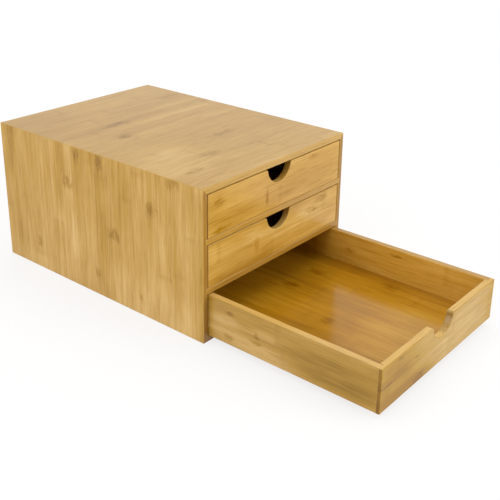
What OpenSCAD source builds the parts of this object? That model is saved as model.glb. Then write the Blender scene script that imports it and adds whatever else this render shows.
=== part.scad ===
// Desktop drawer cabinet in bamboo: a mitred case with two housed shelves, and
// three open boxes that slide in its bays. Every box has a half-moon finger notch
// in its front, rebated corners and a floor held in a groove.
// The origin is the centre of the case's underside; the drawers open towards -Y.

/* [Case] */
// Outside width
case_w = 250; // [220:1:320]
// Outside depth, from the front edges to the back
case_d = 339; // [260:1:400]
// Outside height
case_h = 177; // [156:1:240]
// Thickness of the top, the bottom and the sides
wall_t = 7; // [6:0.5:10]
// Thickness of the shelves
shelf_t = 7; // [5:0.5:10]
// How deep the shelves are let into the sides
housing_d = 2.5; // [1.5:0.5:4]
// Thickness of the back panel
back_t = 4; // [3:0.5:6]
// How far the back panel laps over the walls round it
back_lap = 3.5; // [2:0.5:4.5]
// Radius of the eased edges of the case
case_ease = 1; // [0.5:0.25:2]

/* [Drawers] */
// Thickness of the front, the sides and the back of a drawer
board_t = 8; // [8:0.5:10]
// Thickness of the lip that covers the end of a side
lip_t = 4; // [2.5:0.5:4.5]
// Thickness of a drawer's floor
floor_t = 3.5; // [2.5:0.5:5]
// Height of the floor's underside above the lower edges of the boards
floor_up = 6; // [4:0.5:8]
// Depth of the groove that holds the floor
groove_d = 3; // [1.5:0.5:3.5]
// Room left for the floor at the bottom of its groove
floor_play = 0.3; // [0.1:0.1:0.5]
// Radius of the eased edges of the boards
board_ease = 0.8; // [0.5:0.1:1.2]
// How far the lower drawer stands open
lower_open = 212; // [0:1:250]

/* [Finger notch] */
// Radius of the half-moon
notch_r = 20.5; // [14:0.5:24]
// Height of the half-moon's centre above the rim
notch_rise = 1.5; // [0:0.5:4]
// Radius of the round corner between the half-moon and the rim
notch_corner = 3; // [2:0.5:5]

/* [Running clearances] */
// Gap on each side of a drawer
side_gap = 0.9; // [0.5:0.1:1.5]
// Gap above a drawer
top_gap = 0.9; // [0.5:0.1:1.5]
// Gap under a drawer
glide_gap = 0.3; // [0.2:0.1:0.5]
// Gap between a closed drawer and the back panel
stop_gap = 1; // [0.5:0.5:5]

/* [Hidden] */
$fn = 48;
// Overshoot of a cut past the face that it opens
cut = 1;
lacquered_bamboo = "#cca25c";
pale_bamboo = "#d3af72";
floor_bamboo = "#c0924c";

// Bays, counted from the bottom: 0 lower, 1 middle, 2 upper
bays = 3;
bay_w = case_w - 2 * wall_t;
bay_h = (case_h - 2 * wall_t - (bays - 1) * shelf_t) / bays;
bay_d = case_d - back_t;
front_y = -case_d / 2;
function bay_z(bay) = wall_t + bay * (bay_h + shelf_t);

// Outer size of a drawer, and of the space inside its boards
drawer_w = bay_w - 2 * side_gap;
drawer_h = bay_h - top_gap - glide_gap;
drawer_d = bay_d - stop_gap;
inside_w = drawer_w - 2 * board_t;
inside_d = drawer_d - 2 * board_t;

// The round corners of the notch touch both the rim and the half-moon, but for a
// hairline step at which they stand back from them
notch_z = drawer_h + notch_rise;
corner_z = drawer_h - notch_corner;
corner_x = sqrt(pow(notch_r + notch_corner, 2) - pow(notch_z - corner_z, 2));
corner_step = 0.02;

// Rectangle from its lowest corner, with the corners listed in `at` rounded:
// 0 low left, 1 low right, 2 high right, 3 high left
module eased_rect(size, r, at = [0, 1, 2, 3]) {
    corner = [[0, 0], [size.x, 0], size, [0, size.y]];
    inward = [[1, 1], [-1, 1], [-1, -1], [1, -1]];
    difference() {
        square(size);
        for (i = at)
            difference() {
                translate(corner[i] + inward[i] * (r - cut) / 2) square(r + cut, center = true);
                translate(corner[i] + inward[i] * r) circle(r);
            }
    }
}

// Extrudes a shape drawn in X and Z along Y, from y0
module along_y(y0, length) {
    translate([0, y0 + length, 0]) rotate([90, 0, 0]) linear_extrude(length) children();
}

// Extrudes a shape drawn in Y and Z along X, from x0
module along_x(x0, length) {
    translate([x0, 0, 0]) rotate([90, 0, 90]) linear_extrude(length) children();
}

// ---- Case ----

// Outer form of the case, with all of its edges eased
module case_form() {
    intersection() {
        along_y(front_y, case_d)
            translate([-case_w / 2, 0]) eased_rect([case_w, case_h], case_ease);
        along_x(-case_w / 2, case_w)
            translate([front_y, 0]) eased_rect([case_d, case_h], case_ease);
        translate([-case_w / 2, front_y])
            linear_extrude(case_h) eased_rect([case_w, case_d], case_ease);
    }
}

// Space that the back panel takes up, with the walls lapped by back_lap
module back_space(depth) {
    translate([-bay_w / 2 - back_lap, -front_y - back_t, wall_t - back_lap])
        cube([bay_w + 2 * back_lap, depth, case_h - 2 * wall_t + 2 * back_lap]);
}

// Top or bottom wall: mitred to the sides, inner front edge eased
module level_wall() {
    difference() {
        intersection() {
            case_form();
            along_y(front_y, case_d)
                polygon([[-case_w / 2, 0], [case_w / 2, 0], [bay_w / 2, wall_t], [-bay_w / 2, wall_t]]);
            along_x(-case_w / 2, case_w)
                translate([front_y, -wall_t])
                    eased_rect([case_d, 2 * wall_t], case_ease, [2, 3]);
        }
        back_space(back_t + cut);
    }
}

// Left wall, with the housings for the shelves
module left_wall() {
    difference() {
        intersection() {
            case_form();
            along_y(front_y, case_d)
                polygon([[-case_w / 2, 0], [-bay_w / 2, wall_t], [-bay_w / 2, case_h - wall_t],
                    [-case_w / 2, case_h]]);
            translate([-bay_w / 2 - 2 * wall_t, front_y])
                linear_extrude(case_h)
                    eased_rect([2 * wall_t, case_d], case_ease, [1, 2]);
        }
        back_space(back_t + cut);
        for (bay = [1 : bays - 1])
            translate([-bay_w / 2 - housing_d, front_y - cut, bay_z(bay) - shelf_t])
                cube([housing_d + cut, bay_d + cut, shelf_t]);
    }
}

module bottom_panel() {
    color(lacquered_bamboo) level_wall();
}

module top_panel() {
    color(lacquered_bamboo)
        translate([0, 0, case_h]) mirror([0, 0, 1]) level_wall();
}

module left_side_panel() {
    color(lacquered_bamboo) left_wall();
}

module right_side_panel() {
    color(lacquered_bamboo) mirror([1, 0, 0]) left_wall();
}

module back_panel() {
    color(pale_bamboo) back_space(back_t);
}

// Shelf that carries the drawer of the given bay
module shelf(bay) {
    color(lacquered_bamboo)
        along_x(-bay_w / 2 - housing_d, bay_w + 2 * housing_d)
            translate([front_y, bay_z(bay) - shelf_t])
                eased_rect([bay_d, shelf_t], case_ease, [0, 3]);
}

// ---- Drawers ----
// A drawer is drawn with its front face at y = 0, its lower edges at z = 0 and its
// width centred on x = 0.

// Puts a drawer in its bay, pulled out by `open`
module in_bay(bay, open = 0) {
    translate([0, front_y - open, bay_z(bay) + glide_gap]) children();
}

// Front or back board: rebated at both ends, so that a lip covers the side's end,
// and grooved from rebate to rebate for the floor
module end_board() {
    difference() {
        intersection() {
            along_y(0, board_t)
                translate([-drawer_w / 2, 0]) eased_rect([drawer_w, drawer_h], board_ease);
            along_x(-drawer_w / 2, drawer_w)
                eased_rect([board_t, drawer_h], board_ease, [0, 2, 3]);
            translate([-drawer_w / 2, 0])
                linear_extrude(drawer_h) eased_rect([drawer_w, board_t + cut], board_ease, [0, 1]);
        }
        for (end = [0, 1])
            mirror([end, 0, 0])
                translate([inside_w / 2, lip_t, -cut])
                    cube([board_t + cut, board_t, drawer_h + 2 * cut]);
        translate([-drawer_w / 2, board_t - groove_d, floor_up])
            cube([drawer_w, groove_d + cut, floor_t]);
    }
}

// Half-moon cutter, flared at both faces so that the board's edge comes out rounded
module moon_cutter() {
    translate([0, 0, notch_z])
        rotate([90, 0, 0])
            rotate_extrude()
                difference() {
                    translate([0, -board_t - cut])
                        square([notch_r + board_ease, board_t + 2 * cut]);
                    translate([notch_r, -board_t])
                        eased_rect([board_ease + cut, board_t], board_ease, [0, 3]);
                }
}

// Disc with rounded edges, of which a sector makes the round corner
module corner_disc() {
    translate([corner_x, board_t, corner_z])
        rotate([90, 0, 0])
            rotate_extrude()
                eased_rect([notch_corner - corner_step, board_t], board_ease, [1, 2]);
}

// Sector of a round corner, from its upright to its line to the half-moon's centre
module corner_sector() {
    along_y(-cut, board_t + 2 * cut)
        polygon([[corner_x, corner_z], [corner_x, drawer_h + cut], [0, notch_z + cut],
            [0, notch_z]]);
}

// Front board with the half-moon finger notch, its edge rounded over all the way
module drawer_front() {
    color(lacquered_bamboo) {
        difference() {
            end_board();
            moon_cutter();
            for (end = [0, 1])
                mirror([end, 0, 0]) corner_sector();
        }
        for (end = [0, 1])
            mirror([end, 0, 0])
                intersection() {
                    corner_disc();
                    corner_sector();
                }
    }
}

module drawer_back() {
    color(pale_bamboo) translate([0, drawer_d, 0]) mirror([0, 1, 0]) end_board();
}

module drawer_left_side() {
    color(lacquered_bamboo)
        difference() {
            along_y(lip_t, drawer_d - 2 * lip_t)
                translate([-drawer_w / 2, 0]) eased_rect([board_t, drawer_h], board_ease, [0, 2, 3]);
            translate([-inside_w / 2 - groove_d, 0, floor_up])
                cube([groove_d + cut, drawer_d, floor_t]);
        }
}

module drawer_right_side() {
    mirror([1, 0, 0]) drawer_left_side();
}

module drawer_floor() {
    room = groove_d - floor_play;
    color(floor_bamboo)
        translate([-inside_w / 2 - room, board_t - room, floor_up])
            cube([inside_w + 2 * room, inside_d + 2 * room, floor_t]);
}

top_panel();
bottom_panel();
left_side_panel();
right_side_panel();
back_panel();
shelf(2);  // upper_shelf
shelf(1);  // lower_shelf
in_bay(2) drawer_front();  // upper_drawer_front
in_bay(2) drawer_left_side();  // upper_drawer_left_side
in_bay(2) drawer_right_side();  // upper_drawer_right_side
in_bay(2) drawer_back();  // upper_drawer_back
in_bay(2) drawer_floor();  // upper_drawer_floor
in_bay(1) drawer_front();  // middle_drawer_front
in_bay(1) drawer_left_side();  // middle_drawer_left_side
in_bay(1) drawer_right_side();  // middle_drawer_right_side
in_bay(1) drawer_back();  // middle_drawer_back
in_bay(1) drawer_floor();  // middle_drawer_floor
in_bay(0, lower_open) drawer_front();  // lower_drawer_front
in_bay(0, lower_open) drawer_left_side();  // lower_drawer_left_side
in_bay(0, lower_open) drawer_right_side();  // lower_drawer_right_side
in_bay(0, lower_open) drawer_back();  // lower_drawer_back
in_bay(0, lower_open) drawer_floor();  // lower_drawer_floor
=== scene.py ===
import bpy
import math
from mathutils import Matrix, Vector

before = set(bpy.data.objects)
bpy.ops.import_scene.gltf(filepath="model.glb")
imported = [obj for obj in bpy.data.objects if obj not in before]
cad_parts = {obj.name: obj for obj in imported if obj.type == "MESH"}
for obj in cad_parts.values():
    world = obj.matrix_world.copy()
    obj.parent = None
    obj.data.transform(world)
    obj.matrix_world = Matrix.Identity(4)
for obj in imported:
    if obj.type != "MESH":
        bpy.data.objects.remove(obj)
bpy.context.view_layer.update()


# ---------------------------------------------------------------- Top panel
# A 7 mm board of laminated bamboo with the grain across the case: 21 mm strips glued side
# by side, sanded, and sprayed with a clear glossy lacquer, under which the fibres show.
# Both ends are mitred and glued to the sides.

def linear(hexcode):
    """An sRGB hex colour as linear RGBA."""
    parts = [int(hexcode[i:i + 2], 16) / 255 for i in (1, 3, 5)]
    return [c / 12.92 if c <= 0.04045 else ((c + 0.055) / 1.055) ** 2.4 for c in parts] + [1.0]


def add(tree, kind, settings=None, inputs=None):
    """Adds a node with its settings. An input is a value, a socket, or a node, which
    stands for its first output."""
    item = tree.nodes.new(kind)
    for key, value in (settings or {}).items():
        setattr(item, key, value)
    for key, value in (inputs or {}).items():
        if isinstance(value, bpy.types.Node):
            value = value.outputs[0]
        if isinstance(value, bpy.types.NodeSocket):
            tree.links.new(value, item.inputs[key])
        else:
            item.inputs[key].default_value = value
    return item


def from_spot(tree, mm, spot):
    """How far off a spot is, in sizes of its own: 0 in its middle and 1 at its rim. A
    spot is (along, across, half length, half width), in mm."""
    along, across, half_length, half_width = spot
    squeezed = add(tree, "ShaderNodeVectorMath", {"operation": "MULTIPLY"},
                   {0: mm, 1: (1 / half_length, 1 / half_width, 0.0)})
    away = add(tree, "ShaderNodeVectorMath", {"operation": "DISTANCE"},
               {0: squeezed, 1: (along / half_length, across / half_width, 0.0)})
    return away.outputs["Value"]


def bamboo(name, axes, strip, shift, tones, rim, marks=(), patches=(), streaks=1.0,
           gloss=0.22, coat=0.85):
    """Lacquered laminated bamboo. axes are the part's axes along the grain, across the
    strips and through the board; strip is the width of a strip and shift moves the
    pattern, in mm. tones run from the darkest to the palest, and rim is the tone of the
    sanded long edges, on some parts painted paler as a highlight or darker as shade. marks
    are spots where a ring of the culm left dark flecks; patches are soft spots, and end
    with how much paler (+) or darker (-) they are. streaks scales the contrast of the
    grain, gloss is the roughness of the lacquer, and coat is how much of it lies on the
    board."""
    ring_spacing = 190.0  # mm between two rings of the culm
    ring_reach = 6.0  # mm over which the flecks at a ring fade out
    ring_slide = 7.0  # spacings by which the rings of a strip may be slid along it
    strip_spread, darkest_strip = 0.2, 0.44  # tone of the strips
    first_stop, stops_reach = 0.08, 0.84  # where the tones lie on the colour ramp
    patch_core, patch_rim = 0.25, 1.1  # a patch fades between them, in its own sizes
    mark_core, mark_rim = 0.2, 1.3  # the same for a mark
    fleck_stain, bundle_stain, end_grain_stain = "#cbbc1c", "#c0ac3c", "#a68a1c"
    glue_brown = "#8a6426"
    glue_reach = 0.35  # mm over which a glue line fades out on each side
    # the rubbed edges are also a painted highlight
    worn_and_highlit_reach = 0.0012  # metres from an edge that are rubbed
    relief_height = 0.00005  # metres

    material = bpy.data.materials.new(name)
    material.use_nodes = True
    tree = material.node_tree
    tree.nodes.clear()

    # millimetres along the grain, across the strips and through the board
    place = add(tree, "ShaderNodeTexCoord")
    metres = add(tree, "ShaderNodeSeparateXYZ", None, {0: place.outputs["Object"]})
    ordered = add(tree, "ShaderNodeCombineXYZ", None,
                  {i: metres.outputs[axis] for i, axis in enumerate(axes)})
    mm = add(tree, "ShaderNodeVectorMath", {"operation": "SCALE"}, {0: ordered, "Scale": 1000.0})
    moved = add(tree, "ShaderNodeVectorMath", {"operation": "ADD"}, {0: mm, 1: shift})
    split = add(tree, "ShaderNodeSeparateXYZ", None, {0: moved})

    # which strip, and how far into it
    strips = add(tree, "ShaderNodeMath", {"operation": "DIVIDE"}, {0: split.outputs[1], 1: strip})
    index = add(tree, "ShaderNodeMath", {"operation": "FLOOR"}, {0: strips})
    into = add(tree, "ShaderNodeMath", {"operation": "PINGPONG"}, {0: strips, 1: 0.5})
    per_strip = add(tree, "ShaderNodeTexWhiteNoise", {"noise_dimensions": "1D"}, {"W": index})

    # the culm's rings cross each strip at a height of its own
    lengths = add(tree, "ShaderNodeMath", {"operation": "DIVIDE"},
                  {0: split.outputs[0], 1: ring_spacing})
    slid = add(tree, "ShaderNodeMath", {"operation": "MULTIPLY_ADD"},
               {0: per_strip, 1: ring_slide, 2: lengths})
    length = add(tree, "ShaderNodeMath", {"operation": "FLOOR"}, {0: slid})
    cell = add(tree, "ShaderNodeCombineXYZ", None, {0: index, 1: length})
    per_length = add(tree, "ShaderNodeTexWhiteNoise", {"noise_dimensions": "2D"},
                     {"Vector": cell})
    along = add(tree, "ShaderNodeMath", {"operation": "PINGPONG"}, {0: slid, 1: 0.5})
    ring = add(tree, "ShaderNodeMapRange", {"interpolation_type": "SMOOTHSTEP"},
               {"Value": along, "From Min": 0.0, "From Max": ring_reach / ring_spacing,
                "To Min": 0.4, "To Max": 0.0})

    # patterns along the grain: length and width in mm, octaves, waviness, and whether they
    # start anew on each strip
    patterns = []
    for size_along, size_across, octaves, wavy, own in (
            (90.0, 0.9, 3.0, 0.0, True),    # fibres
            (110.0, 7.0, 2.0, 0.0, True),   # bands
            (80.0, 30.0, 2.0, 0.0, False),  # clouds
            (12.0, 4.0, 4.0, 0.6, True),    # flecks
            (28.0, 0.7, 1.0, 0.0, True)):   # fibre bundles
        spread = add(tree, "ShaderNodeVectorMath", {"operation": "MULTIPLY"},
                     {0: moved, 1: (1 / size_along, 1 / size_across, 1 / size_across)})
        if own:
            spread = add(tree, "ShaderNodeVectorMath", {"operation": "ADD"},
                         {0: spread, 1: per_strip.outputs["Color"]})
        patterns.append(add(tree, "ShaderNodeTexNoise", None,
                            {"Vector": spread, "Scale": 1.0, "Detail": octaves,
                             "Distortion": wavy}))
    fibres, bands, clouds, flecks, bundles = patterns

    # tone of the wood: the strip, its length between two rings, and the grain
    tone = add(tree, "ShaderNodeMath", {"operation": "MULTIPLY_ADD"},
               {0: per_strip, 1: strip_spread, 2: darkest_strip})
    for source, weight in ((per_length, 0.12), (bands, 0.62 * streaks), (clouds, 0.5 * streaks),
                           (fibres, 0.24 * streaks)):
        centred = add(tree, "ShaderNodeMath", {"operation": "SUBTRACT"}, {0: source, 1: 0.5})
        tone = add(tree, "ShaderNodeMath", {"operation": "MULTIPLY_ADD"},
                   {0: centred, 1: weight, 2: tone})

    # soft patches lift or lower the tone
    for *spot, lift in patches:
        faded = add(tree, "ShaderNodeMapRange", {"interpolation_type": "SMOOTHSTEP"},
                    {"Value": from_spot(tree, mm, spot), "From Min": patch_core,
                     "From Max": patch_rim, "To Min": lift, "To Max": 0.0})
        tone = add(tree, "ShaderNodeMath", {"operation": "ADD"}, {0: tone, 1: faded})
    ramp = add(tree, "ShaderNodeValToRGB", None, {"Fac": tone})
    while len(ramp.color_ramp.elements) < len(tones):
        ramp.color_ramp.elements.new(0.5)
    for i, hexcode in enumerate(tones):
        ramp.color_ramp.elements[i].position = first_stop + stops_reach * i / (len(tones) - 1)
        ramp.color_ramp.elements[i].color = linear(hexcode)

    # dark flecks where a ring crosses, strong at the marks, whose rims they tear up, and
    # faint elsewhere
    fleck = add(tree, "ShaderNodeMapRange", {"interpolation_type": "SMOOTHSTEP"},
                {"Value": flecks, "From Min": 0.36, "From Max": 0.64})
    scar = add(tree, "ShaderNodeMath", {"operation": "MULTIPLY"}, {0: ring, 1: per_length})
    ragged = add(tree, "ShaderNodeMath", {"operation": "MULTIPLY_ADD"},
                 {0: flecks, 1: -2.0, 2: 1.0})
    for spot in marks:
        torn = add(tree, "ShaderNodeMath", {"operation": "ADD"},
                   {0: from_spot(tree, mm, spot), 1: ragged})
        marked = add(tree, "ShaderNodeMapRange", {"interpolation_type": "SMOOTHSTEP"},
                     {"Value": torn, "From Min": mark_core, "From Max": mark_rim,
                      "To Min": 1.0, "To Max": 0.0})
        scar = add(tree, "ShaderNodeMath", {"operation": "MAXIMUM"}, {0: scar, 1: marked})
    speckle = add(tree, "ShaderNodeMath", {"operation": "MULTIPLY_ADD"},
                  {0: fleck, 1: 0.5, 2: 0.4})
    dark = add(tree, "ShaderNodeMath", {"operation": "MULTIPLY"}, {0: scar, 1: speckle})
    flecked = add(tree, "ShaderNodeMix", {"data_type": "RGBA", "blend_type": "MULTIPLY"},
                  {"Factor": dark, 6: ramp, 7: linear(fleck_stain)})

    # thin brown glue lines between the strips
    joint = add(tree, "ShaderNodeMapRange", None,
                {"Value": into, "From Min": 0.0, "From Max": glue_reach / strip,
                 "To Min": 0.34, "To Max": 0.0})
    glued = add(tree, "ShaderNodeMix", {"data_type": "RGBA"},
                {"Factor": joint, 6: flecked.outputs[2], 7: linear(glue_brown)})

    # end grain drinks the lacquer and is darker; the long edges take the rim tone, in places
    # painted paler as a highlight or darker as shade
    facing = add(tree, "ShaderNodeSeparateXYZ", None, {0: place.outputs["Normal"]})
    squares = []
    for axis in axes[:2]:
        squares.append(add(tree, "ShaderNodeMath", {"operation": "MULTIPLY"},
                           {0: facing.outputs[axis], 1: facing.outputs[axis]}))
    ends = add(tree, "ShaderNodeMapRange", None,
               {"Value": squares[0], "From Min": 0.2, "From Max": 1.0,
                "To Min": 0.0, "To Max": 0.6})
    ended = add(tree, "ShaderNodeMix", {"data_type": "RGBA", "blend_type": "MULTIPLY"},
                {"Factor": ends, 6: glued.outputs[2], 7: linear(end_grain_stain)})
    edges = add(tree, "ShaderNodeMapRange", None,
                {"Value": squares[1], "From Min": 0.85, "From Max": 0.98,
                 "To Min": 0.0, "To Max": 0.8})
    edged = add(tree, "ShaderNodeMix", {"data_type": "RGBA"},
                {"Factor": edges, 6: ended.outputs[2], 7: linear(rim)})

    # the fibre bundles: fine dark dashes along the grain, and dots on the end grain. Real
    # ones are 0.3 to 0.5 mm wide; they are drawn 0.7 mm wide, so that they show
    dash = add(tree, "ShaderNodeMapRange", {"interpolation_type": "SMOOTHSTEP"},
               {"Value": bundles, "From Min": 0.5, "From Max": 0.68,
                "To Min": 0.0, "To Max": 0.42})
    dashed = add(tree, "ShaderNodeMix", {"data_type": "RGBA", "blend_type": "MULTIPLY"},
                 {"Factor": dash, 6: edged.outputs[2], 7: linear(bundle_stain)})

    # the eased edges are rubbed a little paler, which is also a painted highlight along them
    bevel = add(tree, "ShaderNodeBevel", {"samples": 4}, {"Radius": worn_and_highlit_reach})
    straight = add(tree, "ShaderNodeNewGeometry")
    same = add(tree, "ShaderNodeVectorMath", {"operation": "DOT_PRODUCT"},
               {0: bevel, 1: straight.outputs["Normal"]})
    rubbed_and_highlit = add(tree, "ShaderNodeMapRange", None,
                 {"Value": same.outputs["Value"], "From Min": 0.75, "From Max": 0.99,
                  "To Min": 0.3, "To Max": 0.0})
    worn_and_highlit = add(tree, "ShaderNodeMix", {"data_type": "RGBA"},
               {"Factor": rubbed_and_highlit, 6: dashed.outputs[2], 7: linear(tones[-1])})

    # fibres and flecks show as a slight relief under the lacquer, which has all the gloss
    relief = add(tree, "ShaderNodeMath", {"operation": "MULTIPLY_ADD"},
                 {0: dark, 1: -0.4, 2: fibres})
    bump = add(tree, "ShaderNodeBump", None,
               {"Strength": 0.4, "Distance": relief_height, "Height": relief})
    sanded = add(tree, "ShaderNodeMapRange", None,
                 {"Value": bands, "From Min": 0.3, "From Max": 0.7,
                  "To Min": 0.5, "To Max": 0.65})
    shader = add(tree, "ShaderNodeBsdfPrincipled", None,
                 {"Base Color": worn_and_highlit.outputs[2], "Roughness": sanded, "IOR": 1.5,
                  "Specular IOR Level": 0.0, "Normal": bump, "Coat Weight": coat,
                  "Coat IOR": 1.5, "Coat Roughness": gloss})
    add(tree, "ShaderNodeOutputMaterial", None, {"Surface": shader})
    return material


def finish(material, *names):
    """Gives pieces of the frame their material."""
    for name in names:
        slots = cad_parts[name].data.materials
        slots.clear()
        slots.append(material)


case_tones = ("#986c28", "#b0873a", "#c0974a", "#d2ae66")
top_marks = ((-33.0, 58.0, 26.0, 7.0), (-58.0, 15.0, 16.0, 9.0), (25.0, -62.0, 24.0, 7.0),
             (-38.0, -101.0, 18.0, 7.0), (-93.0, -126.0, 16.0, 5.0), (98.0, 104.0, 22.0, 6.0))
top_patches = ((-70.0, 40.0, 60.0, 22.0, -0.12), (0.0, 57.0, 400.0, 15.0, -0.24),
               (-100.0, 130.0, 80.0, 70.0, -0.2), (-90.0, -85.0, 80.0, 60.0, 0.24),
               (0.0, -36.0, 300.0, 26.0, 0.08), (-50.0, -130.0, 26.0, 12.0, -0.16),
               (30.0, 122.0, 140.0, 26.0, -0.1))
finish(bamboo("lacquered_bamboo_top", "XYZ", 21.0, (40.0, 8.0, 3.0), case_tones, "#c09a50",
              top_marks, top_patches, 0.5), "top_panel")


# ---------------------------------------------------------------- Side panels
# Two 7 mm boards of the same bamboo with the grain upright, mitred at the top and the
# bottom and housed for the shelves. The strips are 20 mm wide, more streaky than those of
# the top, and their dark flecks lie scattered over the boards.

side_tones = ("#9a6e0a", "#b48a2e", "#c49b50", "#d6b26e")
side_marks = ((130.0, 45.0, 9.0, 10.0), (134.0, -93.0, 10.0, 8.0), (85.0, -32.0, 9.0, 11.0),
              (36.0, 107.0, 8.0, 5.0), (170.0, -12.0, 18.0, 7.0), (168.0, 26.0, 10.0, 5.0),
              (172.0, -127.0, 9.0, 9.0), (29.0, -1.0, 7.0, 5.0), (23.0, -75.0, 8.0, 2.5))
# the broad paler patch low on the front of the boards, at (12, -85), is painted light thrown up
# by the floor
side_patches = ((88.0, 86.0, 300.0, 14.0, 0.16), (160.0, 20.0, 50.0, 40.0, -0.08),
                (100.0, 146.0, 160.0, 40.0, -0.18), (150.0, 62.0, 70.0, 15.0, -0.26),
                (130.0, 0.0, 60.0, 14.0, -0.16), (110.0, -124.0, 55.0, 14.0, -0.18),
                (105.0, -31.0, 50.0, 14.0, 0.16), (12.0, -85.0, 58.0, 110.0, 0.26),
                (155.0, -156.0, 50.0, 18.0, -0.2), (45.0, 31.0, 62.0, 16.0, 0.2),
                (40.0, -93.0, 80.0, 12.0, 0.1), (4.0, 120.0, 26.0, 60.0, 0.16))
finish(bamboo("lacquered_bamboo_side", "ZYX", 20.0, (11.0, 4.0, 0.0), side_tones, "#9c7230",
              side_marks, side_patches, 1.2), "left_side_panel", "right_side_panel")


# ---------------------------------------------------------------- Shelves, bottom and back
# Two 7 mm shelves let into the sides, the mitred bottom, and a 4 mm back panel glued into
# a rebate. The strips lie across the case. Of the shelves and the bottom little shows but
# their sanded front edges; those of the lower shelf and the bottom are painted darker, as
# painted shade where they face the open drawer and lie in the case's shadow.

finish(bamboo("lacquered_bamboo_shelf", "XYZ", 20.0, (71.0, 13.0, 9.0), case_tones, "#b98f40"),
       "upper_shelf")
# a darker rim than the upper shelf's: painted shade on the front edges of the lower shelf and the
# bottom
finish(bamboo("lacquered_bamboo_shaded_lower_shelf", "XYZ", 20.0, (11.0, 33.0, 9.0), case_tones,
              "#a67a2c"), "lower_shelf", "bottom_panel")
finish(bamboo("lacquered_bamboo_back", "XZY", 24.0, (23.0, 3.0, 0.0), case_tones, "#c49a4c"),
       "back_panel")


# ---------------------------------------------------------------- Drawer fronts
# Bamboo boards 8 mm thick and two strips high, with the grain along them. The ends are
# rebated over the drawer's sides, and the half-moon finger notch is cut into the rim,
# which is sanded, and painted paler than the face as a highlight. Each front is cut from
# its own board.

half_height = 24.2  # mm, the width of a strip
# rims painted paler than the face: a painted highlight where the top edges catch the light
painted_highlight_rim = "#dcb366"
upper_tones = ("#9a6a08", "#bc8f3a", "#cb9f4a", "#dab264")
upper_marks = ((-96.0, 125.0, 14.0, 5.0), (-100.0, 157.0, 9.0, 5.0), (64.0, 163.0, 10.0, 3.0))
upper_patches = ((-75.0, 134.0, 60.0, 12.0, -0.26), (50.0, 146.0, 90.0, 30.0, -0.14),
                 (-21.0, 138.0, 4.0, 15.0, -0.3), (-108.0, 153.0, 20.0, 16.0, -0.2),
                 (36.0, 127.0, 24.0, 8.0, 0.2))
finish(bamboo("lacquered_bamboo_upper_front", "XZY", half_height, (30.0, 0.5, 0.0),
              upper_tones, painted_highlight_rim, upper_marks, upper_patches, 0.75),
       "upper_drawer_front")

middle_tones = ("#9a6a08", "#bc8f3a", "#cda24f", "#dfba72")
middle_marks = ((83.0, 105.0, 12.0, 5.0), (64.0, 96.0, 14.0, 4.0))
middle_patches = ((-80.0, 98.0, 80.0, 13.0, 0.26), (10.0, 94.0, 80.0, 16.0, 0.32),
                  (85.0, 98.0, 60.0, 14.0, 0.2), (-38.0, 86.0, 6.0, 12.0, -0.24),
                  (-60.0, 68.0, 80.0, 12.0, -0.3), (-46.0, 106.0, 30.0, 7.0, 0.24))
finish(bamboo("lacquered_bamboo_middle_front", "XZY", half_height, (95.0, 9.0, 0.0),
              middle_tones, painted_highlight_rim, middle_marks, middle_patches, 0.75),
       "middle_drawer_front")

# this one has a little less lacquer on it, and darker tones than the others: painted shade
# that offsets the stronger light on it when it is open
lower_shaded_tones = ("#9c7114", "#b28b2c", "#bd9a57", "#cfaf6c")
lower_marks = ((-47.0, 13.0, 12.0, 5.0), (-103.0, 33.0, 16.0, 1.2), (-84.0, 52.5, 6.0, 2.0),
               (-52.0, 39.0, 5.0, 1.6))
# the broad darker patch over the left end, at (-90, 24), is painted shade
lower_patches = ((-90.0, 24.0, 60.0, 50.0, -0.34), (40.0, 28.0, 70.0, 30.0, 0.2),
                 (114.0, 30.0, 16.0, 60.0, -0.16), (-60.0, 10.0, 110.0, 14.0, -0.16),
                 (-112.0, 16.0, 20.0, 18.0, -0.16), (-44.0, 13.0, 34.0, 11.0, -0.2))
finish(bamboo("lacquered_bamboo_lower_front", "XZY", half_height, (160.0, -7.3, 0.0),
              lower_shaded_tones, painted_highlight_rim, lower_marks, lower_patches, 0.65, coat=0.68),
       "lower_drawer_front")


# ---------------------------------------------------------------- Drawer sides and backs
# Boards like the fronts, 8 mm thick and two strips high, with the grain along them. They
# are glued behind the lips of the front and the back, and their rims are sanded, too; the
# rims of the left sides and the backs are painted paler as a highlight.

left_tones = ("#8a6408", "#a77f28", "#b68e40", "#c6a05c")
left_marks = ((-200.0, 45.0, 6.0, 4.0), (-235.0, 32.0, 4.0, 4.0), (-236.0, 23.0, 9.0, 3.0),
              (-198.0, 17.0, 7.0, 4.0))
# the paler patches where the side runs out of the case, at (-195, 24) and (-190, 35), are painted
# light that lifts the shade there
left_patches = ((-330.0, 26.0, 80.0, 26.0, -0.36), (-195.0, 24.0, 45.0, 18.0, 0.26),
                (-248.0, 14.0, 56.0, 14.0, 0.42), (-190.0, 35.0, 32.0, 9.0, 0.26),
                (-246.0, 34.0, 28.0, 8.0, 0.22))
finish(bamboo("lacquered_bamboo_left_sides", "YZX", half_height, (64.0, -7.3, 0.0),
              left_tones, painted_highlight_rim, left_marks, left_patches),
       "lower_drawer_left_side", "middle_drawer_left_side", "upper_drawer_left_side")

right_tones = ("#a06c06", "#c4922c", "#d3a23e", "#e1b55a")
right_marks = ((-199.0, 36.0, 9.0, 4.0), (-262.0, 48.0, 8.0, 2.5))
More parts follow.
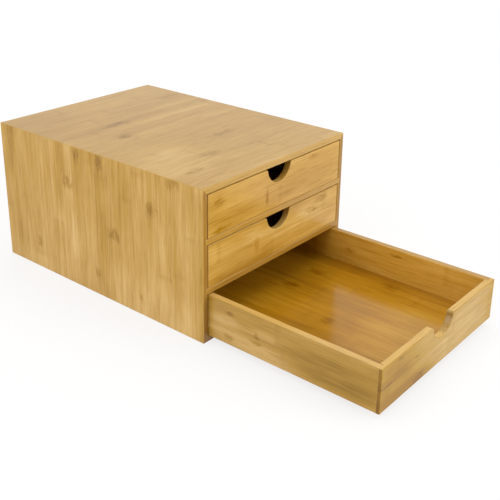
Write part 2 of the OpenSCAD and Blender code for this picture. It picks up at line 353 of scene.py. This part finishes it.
# the strong dark patch at (-120, 30), where the side runs into the case, is painted shadow
right_patches = ((-120.0, 30.0, 60.0, 60.0, -0.5), (-240.0, 32.0, 110.0, 60.0, 0.14),
                 (-345.0, 50.0, 50.0, 12.0, 0.2))
finish(bamboo("lacquered_bamboo_right_sides", "YZX", half_height, (131.0, -7.3, 0.0),
              right_tones, "#b48c48", right_marks, right_patches),
       "lower_drawer_right_side", "middle_drawer_right_side", "upper_drawer_right_side")

finish(bamboo("lacquered_bamboo_drawer_back", "XZY", half_height, (120.0, 2.0, 0.0),
              case_tones, painted_highlight_rim),
       "lower_drawer_back", "middle_drawer_back", "upper_drawer_back")


# ---------------------------------------------------------------- Drawer floors
# A 3.5 mm board held in a groove all round, with the grain from front to back. The bamboo
# is darker, and its lacquer smoother, than that of the other boards, so it mirrors more.

floor_tones = ("#7c500e", "#a67414", "#b98418", "#cc9a30")
floor_marks = ((-177.0, 18.0, 12.0, 8.0), (-179.0, 65.0, 14.0, 6.0), (-268.0, 90.0, 11.0, 8.0),
               (-256.0, -22.0, 7.0, 7.0))
# the darker patch at (-150, 60), under the front of the case, is painted shade
floor_patches = ((-150.0, 60.0, 70.0, 80.0, -0.16), (-345.0, 0.0, 80.0, 100.0, 0.3),
                 (-185.0, -34.0, 60.0, 34.0, 0.2))
finish(bamboo("lacquered_bamboo_drawer_floor", "YXZ", 24.0, (15.0, 7.0, 0.0), floor_tones,
              floor_tones[2], floor_marks, floor_patches, gloss=0.17),
       "lower_drawer_floor", "middle_drawer_floor", "upper_drawer_floor")


# ---------------------------------------------------------------- Studio floor
# A pale board with matt white paint, hardly mottled. To the camera and in reflections it
# glows by a part, so that it reads white and the object's shadow on it is a light one.

half_floor = 6  # metres from the middle to each edge
floor_mesh = bpy.data.meshes.new("studio_floor")
floor_mesh.from_pydata([(-half_floor, -half_floor, 0), (half_floor, -half_floor, 0),
                        (half_floor, half_floor, 0), (-half_floor, half_floor, 0)],
                       [], [(0, 1, 2, 3)])
studio_floor = bpy.data.objects.new("studio_floor", floor_mesh)
bpy.context.scene.collection.objects.link(studio_floor)

paint = bpy.data.materials.new("matt_white_floor_paint")
paint.use_nodes = True
paint.node_tree.nodes.clear()
ground = add(paint.node_tree, "ShaderNodeTexCoord")
mottle = add(paint.node_tree, "ShaderNodeTexNoise", None,
             {"Vector": ground.outputs["Object"], "Scale": 9.0, "Detail": 3.0})
pale = add(paint.node_tree, "ShaderNodeMix", {"data_type": "RGBA"},
           {"Factor": mottle, 6: linear("#f4f4f4"), 7: linear("#fafafa")})
matt = add(paint.node_tree, "ShaderNodeBsdfDiffuse", None, {"Color": pale.outputs[2]})
glow = add(paint.node_tree, "ShaderNodeEmission", None,
           {"Color": linear("#ffffff"), "Strength": 1.0})


def seen_directly(tree):
    """1 for rays from the camera, in reflections and through glass, else 0."""
    rays = add(tree, "ShaderNodeLightPath")
    direct = add(tree, "ShaderNodeMath", {"operation": "ADD"},
                 {0: rays.outputs["Is Camera Ray"], 1: rays.outputs["Is Glossy Ray"]})
    return add(tree, "ShaderNodeMath", {"operation": "ADD", "use_clamp": True},
               {0: direct, 1: rays.outputs["Is Transmission Ray"]})


# three quarters glow round the object, all of it from 1.6 m on
far = add(paint.node_tree, "ShaderNodeVectorMath", {"operation": "LENGTH"},
          {0: ground.outputs["Object"]})
rising = add(paint.node_tree, "ShaderNodeMapRange", {"interpolation_type": "SMOOTHSTEP"},
             {"Value": far.outputs["Value"], "From Min": 0.5, "From Max": 1.6,
              "To Min": 0.75, "To Max": 1.0})
share = add(paint.node_tree, "ShaderNodeMath", {"operation": "MULTIPLY"},
            {0: seen_directly(paint.node_tree), 1: rising})
lit = add(paint.node_tree, "ShaderNodeMixShader", None, {"Fac": share, 1: matt, 2: glow})
add(paint.node_tree, "ShaderNodeOutputMaterial", None, {"Surface": lit})
floor_mesh.materials.append(paint)


# ---------------------------------------------------------------- Light
# White all round, to the camera and in reflections, and softer as a light. Four large
# soft panels light the object; two of them only fill the shade, and aren't mirrored in
# the lacquer.

world = bpy.data.worlds.new("white_studio")
bpy.context.scene.world = world
world.use_nodes = True
world.node_tree.nodes.clear()
level = add(world.node_tree, "ShaderNodeMapRange", None,
            {"Value": seen_directly(world.node_tree), "To Min": 0.64, "To Max": 1.0})
sky = add(world.node_tree, "ShaderNodeBackground", None,
          {"Color": linear("#ffffff"), "Strength": level})
add(world.node_tree, "ShaderNodeOutputWorld", None, {"Surface": sky})

# place, aim and width in metres, power in watts
for name, panel_at, aim, width, watts, mirrored in (
        ("left_panel", (-2.4, 0.3, 1.3), (0.0, -0.1, 0.08), 2.0, 27.0, True),
        ("front_panel", (1.0, -2.6, 0.9), (0.0, -0.1, 0.08), 1.6, 37.0, False),
        ("back_right_panel", (1.8, 1.8, 1.4), (0.0, -0.1, 0.08), 2.0, 14.0, False),
        ("top_panel_light", (0.2, -0.2, 2.4), (0.0, -0.1, 0.0), 2.2, 14.0, True)):
    light = bpy.data.lights.new(name, "AREA")
    light.size = width
    light.energy = watts
    lamp = bpy.data.objects.new(name, light)
    lamp.location = panel_at
    lamp.visible_glossy = mirrored
    lamp.rotation_euler = (Vector(aim) - Vector(panel_at)).to_track_quat("-Z", "Y").to_euler()
    bpy.context.scene.collection.objects.link(lamp)


# ---------------------------------------------------------------- Camera
# A 61 mm lens on a 36 mm sensor, to the left of the open drawer, in front of it and above.
# It is turned from +Y towards +X, tilted down, and hardly rolled.

heading, tilt, roll = math.radians(-50.519), math.radians(20.643), math.radians(0.795)
camera_at = (-0.69841, -0.70246, 0.48788)
focal_pixels, picture_pixels, sensor_mm = 847.62, 500.0, 36.0
camera = bpy.data.objects.new("camera", bpy.data.cameras.new("camera"))
camera.data.sensor_width = sensor_mm
camera.data.lens = focal_pixels * sensor_mm / picture_pixels
camera.data.shift_y = -0.15
look = Vector((-math.sin(heading) * math.cos(tilt), math.cos(heading) * math.cos(tilt),
               -math.sin(tilt)))
level_right = Vector((math.cos(heading), math.sin(heading), 0.0))
level_up = level_right.cross(look)
right = level_right * math.cos(roll) + level_up * math.sin(roll)
up = level_up * math.cos(roll) - level_right * math.sin(roll)
turn = Matrix((right, up, -look)).transposed().to_4x4()
camera.matrix_world = Matrix.Translation(camera_at) @ turn
bpy.context.scene.collection.objects.link(camera)
bpy.context.scene.camera = camera
bpy.context.scene.view_settings.view_transform = "Standard"
